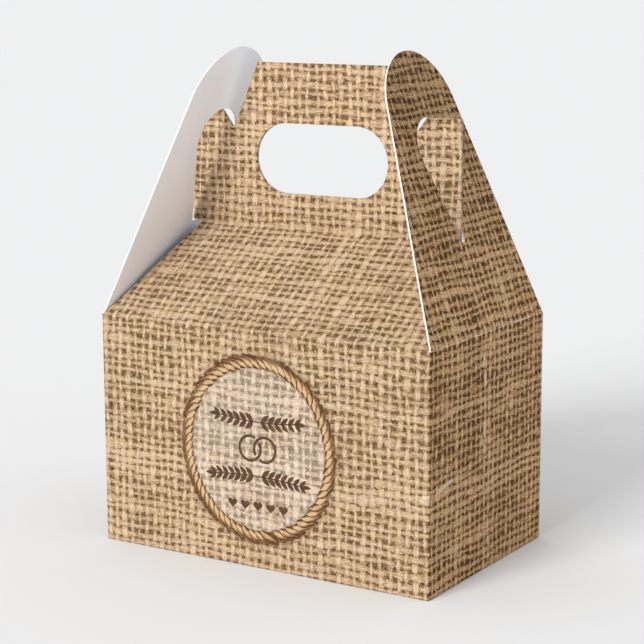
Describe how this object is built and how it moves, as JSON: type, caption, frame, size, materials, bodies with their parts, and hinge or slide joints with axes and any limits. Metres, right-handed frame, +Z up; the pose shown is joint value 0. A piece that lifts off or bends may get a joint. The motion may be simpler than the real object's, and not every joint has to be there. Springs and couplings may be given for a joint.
{
  "type": "gable favour box",
  "caption": "Gable-top favour box of creased printed card, with a flat cut-out handle on the ridge and leaning end flaps that hook over the handle's ears.",
  "frame": {"origin": "middle of the underside, on the surface the box stands on", "axes": "+Z up, +X along the length of the box, -Y out of the front wall that carries the printed ring"},
  "size_m": [0.1016, 0.0636, 0.1345],
  "materials": {
    "printed_card": "matt burlap print outside, white inside",
    "plain_card": "uncoated white board"
  },
  "bodies": {
    "box": {"front_wall": "printed_card", "back_wall": "printed_card", "left_wall": "printed_card", "right_wall": "printed_card", "glue_flap": "plain_card", "base_front": "printed_card", "base_back": "printed_card", "base_left": "plain_card", "base_right": "plain_card"},
    "roof_front": {"roof_front": "printed_card"},
    "roof_back": {"roof_back": "printed_card"},
    "handle_front": {"handle_front": "printed_card"},
    "handle_back": {"handle_back": "printed_card"},
    "end_flap_left": {"end_flap_left": "printed_card"},
    "end_flap_right": {"end_flap_right": "printed_card"}
  },
  "joints": [
    {"name": "end_flap_right_crease", "type": "hinge", "parent": "box", "child": "end_flap_right", "pos_m": [0.0508, 0, 0.0635], "axis": [0, 1, 0], "range_deg": [0, 165]},
    {"name": "end_flap_left_crease", "type": "hinge", "parent": "box", "child": "end_flap_left", "pos_m": [-0.0508, 0, 0.0635], "axis": [0, -1, 0], "range_deg": [0, 165]},
    {"name": "roof_front_crease", "type": "hinge", "parent": "box", "child": "roof_front", "pos_m": [0, -0.03175, 0.0635], "axis": [1, 0, 0], "range_deg": [0, 66]},
    {"name": "roof_back_crease", "type": "hinge", "parent": "box", "child": "roof_back", "pos_m": [0, 0.03175, 0.0635], "axis": [-1, 0, 0], "range_deg": [0, 66]},
    {"name": "handle_front_crease", "type": "hinge", "parent": "roof_front", "child": "handle_front", "pos_m": [0, -0.0005, 0.08579], "axis": [-1, 0, 0], "range_deg": [0, 54.5]},
    {"name": "handle_back_crease", "type": "hinge", "parent": "roof_back", "child": "handle_back", "pos_m": [0, 0.0005, 0.08579], "axis": [1, 0, 0], "range_deg": [0, 54.5]}
  ],
  "couplings": [
    {"joint": "end_flap_left_crease", "follows": "end_flap_right_crease", "ratio": 1},
    {"joint": "roof_front_crease", "follows": "end_flap_right_crease", "ratio": 0.4},
    {"joint": "roof_back_crease", "follows": "end_flap_right_crease", "ratio": 0.4},
    {"joint": "handle_front_crease", "follows": "end_flap_right_crease", "ratio": 0.33},
    {"joint": "handle_back_crease", "follows": "end_flap_right_crease", "ratio": 0.33}
  ]
}
